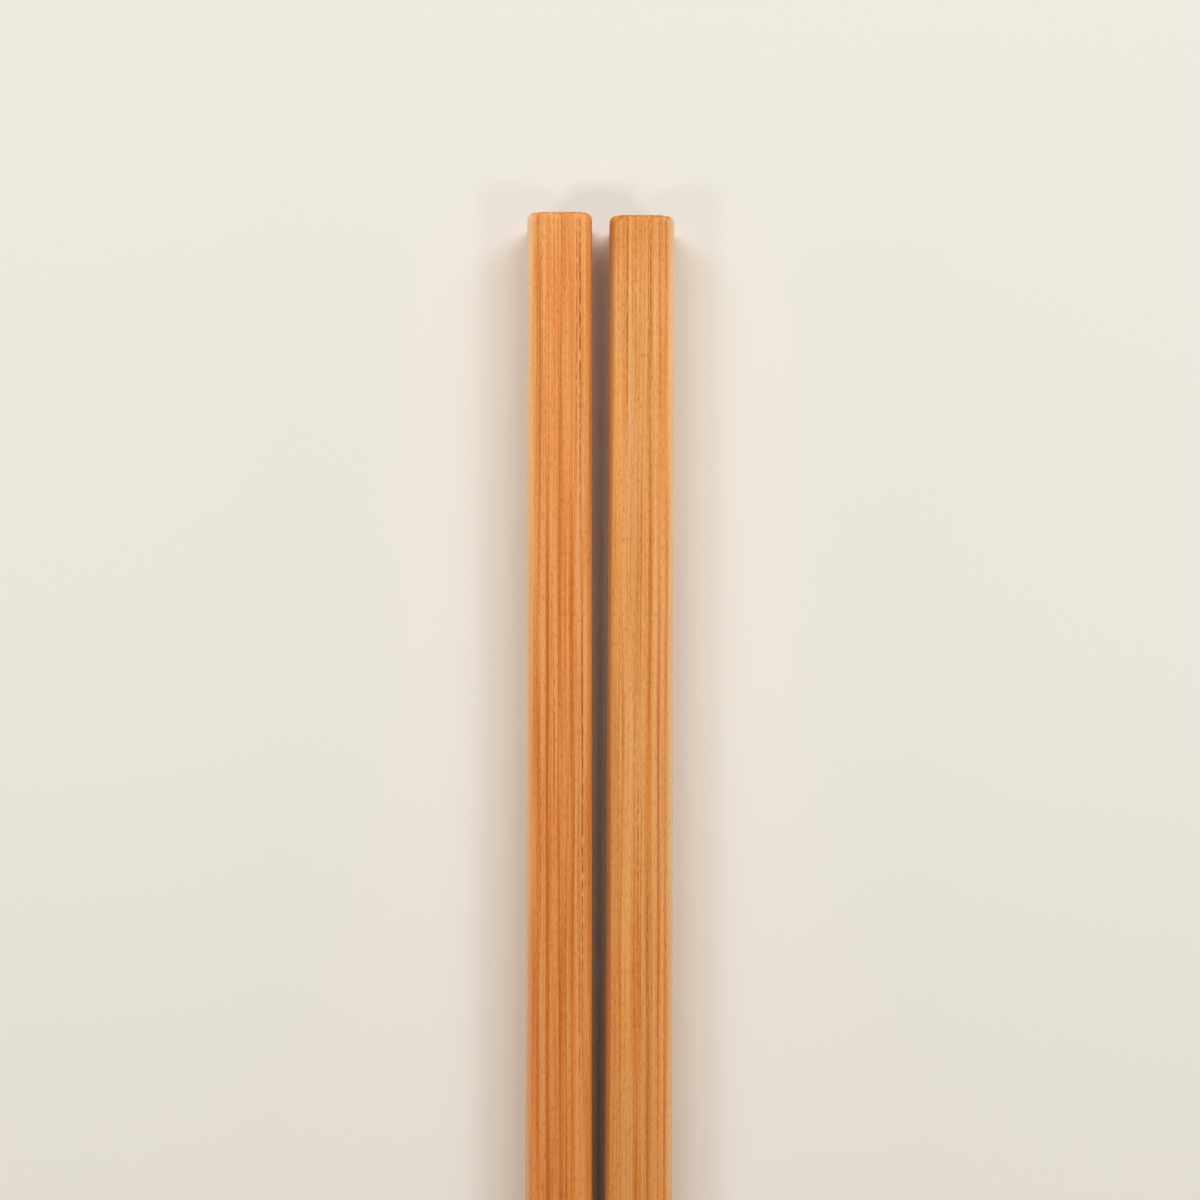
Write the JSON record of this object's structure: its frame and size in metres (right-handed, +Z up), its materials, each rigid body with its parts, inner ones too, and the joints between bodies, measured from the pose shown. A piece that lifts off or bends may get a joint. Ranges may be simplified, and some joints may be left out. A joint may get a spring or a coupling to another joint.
{
  "type": "pair of bamboo chopsticks",
  "caption": "Pair of slender bamboo chopsticks with square grips, eased edges and rounded heads, turned to round tapered tips below, for picking up food.",
  "frame": {"origin": "on the table, midway between the sticks and midway along them", "axes": "+Z up, +Y along the sticks towards their heads, +X towards the right stick"},
  "size_m": [0.0158, 0.2404, 0.007],
  "materials": {
    "bamboo": "satin"
  },
  "bodies": {
    "root": {"left_chopstick": "bamboo", "right_chopstick": "bamboo"}
  },
  "joints": []
}
